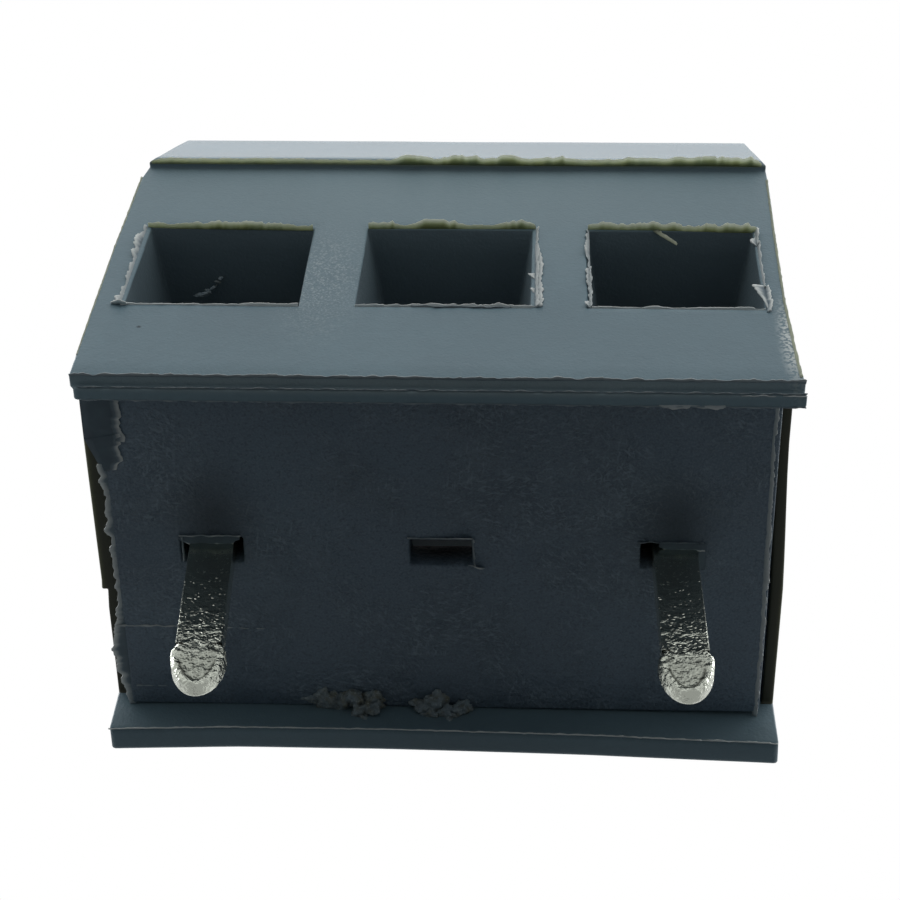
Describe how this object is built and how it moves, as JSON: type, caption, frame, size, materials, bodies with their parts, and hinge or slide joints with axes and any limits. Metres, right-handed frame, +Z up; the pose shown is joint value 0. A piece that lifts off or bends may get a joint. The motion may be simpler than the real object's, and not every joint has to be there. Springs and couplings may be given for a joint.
{
  "type": "pcb screw terminal",
  "caption": "Printed-circuit-board screw terminal: a moulded case with square wire entries, rising cages, slotted clamp screws and flat solder pins.",
  "frame": {"origin": "on the board surface, midway between the solder pins", "axes": "+Z up from the board, with the solder pins along -Z; +X along the row of poles, +Y from the wire-entry face to the back"},
  "size_m": [0.0154, 0.01, 0.0198],
  "materials": {
    "housing_polyamide": "moulded slate-grey polyamide with olive flash",
    "plate_polyamide": "moulded slate-grey polyamide",
    "tinned_strip": "stamped brass strip with a bright tin coat",
    "plated_cage": "nickel-plated brass",
    "zinc_plated_screw": "zinc-plated steel"
  },
  "bodies": {
    "terminal_body": {"housing": "housing_polyamide", "base_plate": "plate_polyamide", "left_pin": "tinned_strip", "right_pin": "tinned_strip"},
    "left_screw": {"left_screw": "zinc_plated_screw"},
    "left_cage": {"left_cage": "plated_cage"},
    "right_screw": {"right_screw": "zinc_plated_screw"},
    "right_cage": {"right_cage": "plated_cage"}
  },
  "joints": [
    {"name": "left_screw_turn", "type": "hinge", "parent": "terminal_body", "child": "left_screw", "pos_m": [-0.00508, 0.0008, 0.013], "axis": [0, 0, -1], "range_deg": [0, 2880]},
    {"name": "left_cage_rise", "type": "slide", "parent": "terminal_body", "child": "left_cage", "axis": [0, 0, 1], "range_m": [0, 0.0036]},
    {"name": "right_screw_turn", "type": "hinge", "parent": "terminal_body", "child": "right_screw", "pos_m": [0.00508, 0.0008, 0.013], "axis": [0, 0, -1], "range_deg": [0, 2880]},
    {"name": "right_cage_rise", "type": "slide", "parent": "terminal_body", "child": "right_cage", "axis": [0, 0, 1], "range_m": [0, 0.0036]}
  ],
  "couplings": [
    {"joint": "left_screw_turn", "follows": "left_cage_rise", "rad_per_m": 13963},
    {"joint": "right_screw_turn", "follows": "right_cage_rise", "rad_per_m": 13963}
  ]
}
